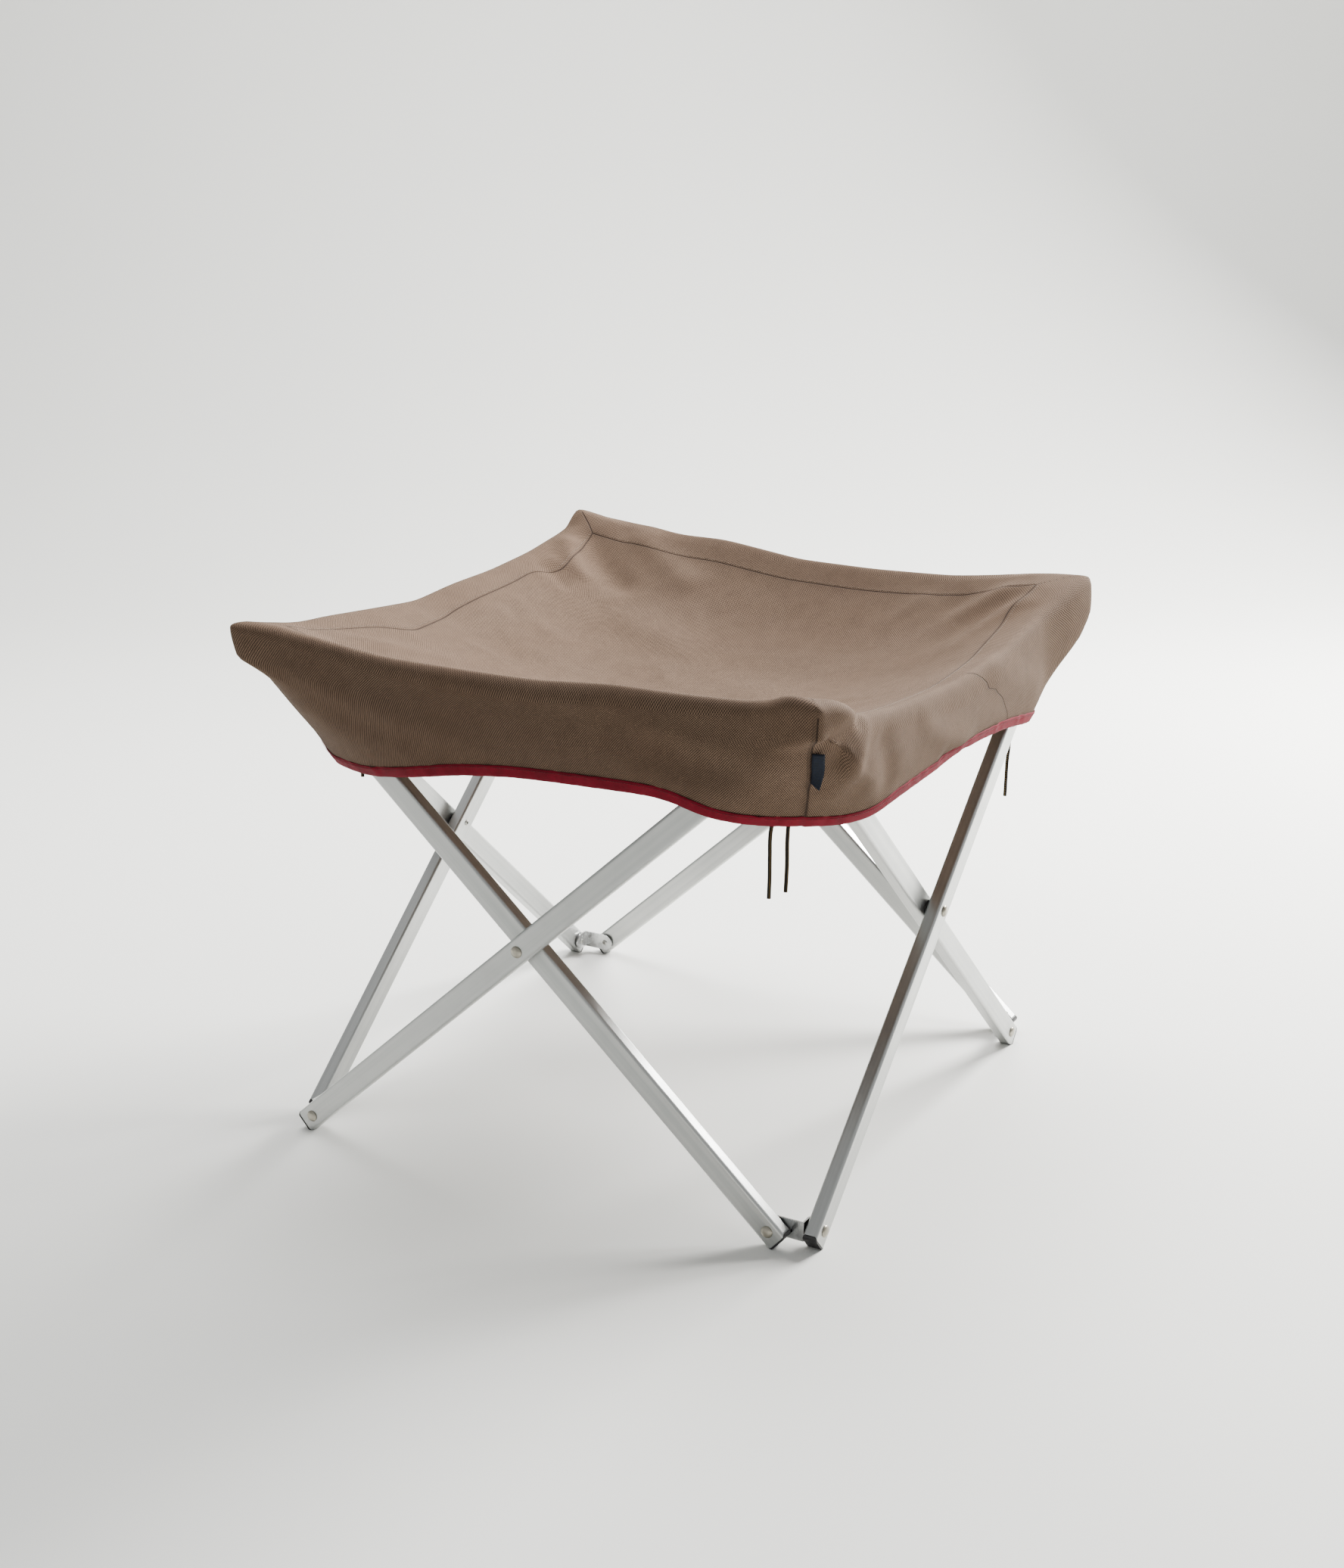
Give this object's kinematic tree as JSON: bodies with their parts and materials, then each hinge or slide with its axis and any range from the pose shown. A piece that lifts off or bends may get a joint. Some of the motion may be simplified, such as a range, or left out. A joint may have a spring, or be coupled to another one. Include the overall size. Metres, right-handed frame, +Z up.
{
  "type": "folding camp stool",
  "caption": "Square camp stool: scissor legs of flat aluminium tube on all four sides fold it flat; a sagging canvas seat cover with a bound skirt stretches over the top corners.",
  "frame": {"origin": "on the floor, at the centre of the open stool", "axes": "+Z up; X and Y along the two pairs of sides; the front corner is at -X -Y"},
  "size_m": [0.6556, 0.6556, 0.556],
  "materials": {
    "aluminium_tube": "satin silver anodised flat tube",
    "rivet": "smooth domed rivet",
    "steel_bracket": "bright polished pressed steel",
    "black_plug": "black moulded plastic",
    "moulded_corner": "black moulded plastic, hidden under the cover",
    "canvas": "taupe brown heavy canvas with a visible weave",
    "binding": "dark red woven tape, stitched",
    "label": "dark woven tab, blank",
    "cord": "black braided cord with melted ends"
  },
  "bodies": {
    "front_foot": {"front_foot_bracket": "steel_bracket"},
    "right_foot": {"right_foot_bracket": "steel_bracket"},
    "back_foot": {"back_foot_bracket": "steel_bracket"},
    "left_foot": {"left_foot_bracket": "steel_bracket"},
    "front_top": {"front_top_corner": "moulded_corner", "seat_cover": "canvas", "hem_binding": "binding", "side_label": "label", "tie_cord_front_a": "cord", "tie_cord_front_b": "cord"},
    "right_top": {"right_top_corner": "moulded_corner", "tie_cord_right": "cord"},
    "back_top": {"back_top_corner": "moulded_corner"},
    "left_top": {"left_top_corner": "moulded_corner", "tie_cord_left": "cord"},
    "front_right_outer": {"front_right_outer_bar": "aluminium_tube", "front_right_outer_foot_plug": "black_plug", "front_right_outer_top_plug": "black_plug", "front_right_outer_foot_rivet": "rivet", "front_right_outer_top_rivet": "rivet", "front_right_centre_rivet": "rivet"},
    "front_right_inner": {"front_right_inner_bar": "aluminium_tube", "front_right_inner_foot_plug": "black_plug", "front_right_inner_top_plug": "black_plug", "front_right_inner_foot_rivet": "rivet", "front_right_inner_top_rivet": "rivet"},
    "back_right_outer": {"back_right_outer_bar": "aluminium_tube", "back_right_outer_foot_plug": "black_plug", "back_right_outer_top_plug": "black_plug", "back_right_outer_foot_rivet": "rivet", "back_right_outer_top_rivet": "rivet", "back_right_centre_rivet": "rivet"},
    "back_right_inner": {"back_right_inner_bar": "aluminium_tube", "back_right_inner_foot_plug": "black_plug", "back_right_inner_top_plug": "black_plug", "back_right_inner_foot_rivet": "rivet", "back_right_inner_top_rivet": "rivet"},
    "back_left_outer": {"back_left_outer_bar": "aluminium_tube", "back_left_outer_foot_plug": "black_plug", "back_left_outer_top_plug": "black_plug", "back_left_outer_foot_rivet": "rivet", "back_left_outer_top_rivet": "rivet", "back_left_centre_rivet": "rivet"},
    "back_left_inner": {"back_left_inner_bar": "aluminium_tube", "back_left_inner_foot_plug": "black_plug", "back_left_inner_top_plug": "black_plug", "back_left_inner_foot_rivet": "rivet", "back_left_inner_top_rivet": "rivet"},
    "front_left_outer": {"front_left_outer_bar": "aluminium_tube", "front_left_outer_foot_plug": "black_plug", "front_left_outer_top_plug": "black_plug", "front_left_outer_foot_rivet": "rivet", "front_left_outer_top_rivet": "rivet", "front_left_centre_rivet": "rivet"},
    "front_left_inner": {"front_left_inner_bar": "aluminium_tube", "front_left_inner_foot_plug": "black_plug", "front_left_inner_top_plug": "black_plug", "front_left_inner_foot_rivet": "rivet", "front_left_inner_top_rivet": "rivet"}
  },
  "joints": [
    {"name": "fold", "type": "hinge", "parent": "front_foot", "child": "front_right_outer", "pos_m": [-0.26812, -0.308, 0.01752], "axis": [0, -1, 0], "range_deg": [0, 42], "deforming": ["seat_cover", "hem_binding", "side_label"]},
    {"name": "front_left_inner_foot_pivot", "type": "hinge", "parent": "front_foot", "child": "front_left_inner", "pos_m": [-0.2897, -0.26812, 0.01752], "axis": [1, 0, 0], "range_deg": [0, 42]},
    {"name": "front_right_cross_pivot", "type": "hinge", "parent": "front_right_outer", "child": "front_right_inner", "pos_m": [0, -0.29885, 0.2564], "axis": [0, 1, 0], "range_deg": [0, 84]},
    {"name": "front_left_cross_pivot", "type": "hinge", "parent": "front_left_inner", "child": "front_left_outer", "pos_m": [-0.29885, 0, 0.2564], "axis": [-1, 0, 0], "range_deg": [0, 84]},
    {"name": "right_top_pivot", "type": "hinge", "parent": "front_right_outer", "child": "right_top", "pos_m": [0.26812, -0.308, 0.49529], "axis": [0, 1, 0], "range_deg": [0, 42]},
    {"name": "left_top_pivot", "type": "hinge", "parent": "front_left_inner", "child": "left_top", "pos_m": [-0.2897, 0.26812, 0.49529], "axis": [-1, 0, 0], "range_deg": [0, 42]},
    {"name": "right_foot_pivot", "type": "hinge", "parent": "front_right_inner", "child": "right_foot", "pos_m": [0.26812, -0.2897, 0.01752], "axis": [0, -1, 0], "range_deg": [0, 42]},
    {"name": "left_foot_pivot", "type": "hinge", "parent": "front_left_outer", "child": "left_foot", "pos_m": [-0.308, 0.26812, 0.01752], "axis": [1, 0, 0], "range_deg": [0, 42]},
    {"name": "front_top_pivot", "type": "hinge", "parent": "front_left_outer", "child": "front_top", "pos_m": [-0.308, -0.26812, 0.49529], "axis": [1, 0, 0], "range_deg": [0, 42]},
    {"name": "back_right_outer_foot_pivot", "type": "hinge", "parent": "right_foot", "child": "back_right_outer", "pos_m": [0.308, -0.26812, 0.01752], "axis": [1, 0, 0], "range_deg": [0, 42]},
    {"name": "back_right_inner_top_pivot", "type": "hinge", "parent": "right_top", "child": "back_right_inner", "pos_m": [0.2897, -0.26812, 0.49529], "axis": [-1, 0, 0], "range_deg": [0, 42]},
    {"name": "back_left_inner_foot_pivot", "type": "hinge", "parent": "left_foot", "child": "back_left_inner", "pos_m": [-0.26812, 0.2897, 0.01752], "axis": [0, -1, 0], "range_deg": [0, 42]},
    {"name": "back_left_outer_top_pivot", "type": "hinge", "parent": "left_top", "child": "back_left_outer", "pos_m": [-0.26812, 0.308, 0.49529], "axis": [0, 1, 0], "range_deg": [0, 42]},
    {"name": "back_top_pivot", "type": "hinge", "parent": "back_right_outer", "child": "back_top", "pos_m": [0.308, 0.26812, 0.49529], "axis": [-1, 0, 0], "range_deg": [0, 42]},
    {"name": "back_foot_pivot", "type": "hinge", "parent": "back_left_outer", "child": "back_foot", "pos_m": [0.26812, 0.308, 0.01752], "axis": [0, -1, 0], "range_deg": [0, 42]}
  ],
  "couplings": [
    {"joint": "front_left_inner_foot_pivot", "follows": "fold", "ratio": 1},
    {"joint": "front_right_cross_pivot", "follows": "fold", "ratio": 2},
    {"joint": "front_left_cross_pivot", "follows": "fold", "ratio": 2},
    {"joint": "right_top_pivot", "follows": "fold", "ratio": 1},
    {"joint": "left_top_pivot", "follows": "fold", "ratio": 1},
    {"joint": "right_foot_pivot", "follows": "fold", "ratio": 1},
    {"joint": "left_foot_pivot", "follows": "fold", "ratio": 1},
    {"joint": "front_top_pivot", "follows": "fold", "ratio": 1},
    {"joint": "back_right_outer_foot_pivot", "follows": "fold", "ratio": 1},
    {"joint": "back_right_inner_top_pivot", "follows": "fold", "ratio": 1},
    {"joint": "back_left_inner_foot_pivot", "follows": "fold", "ratio": 1},
    {"joint": "back_left_outer_top_pivot", "follows": "fold", "ratio": 1},
    {"joint": "back_top_pivot", "follows": "fold", "ratio": 1},
    {"joint": "back_foot_pivot", "follows": "fold", "ratio": 1}
  ]
}
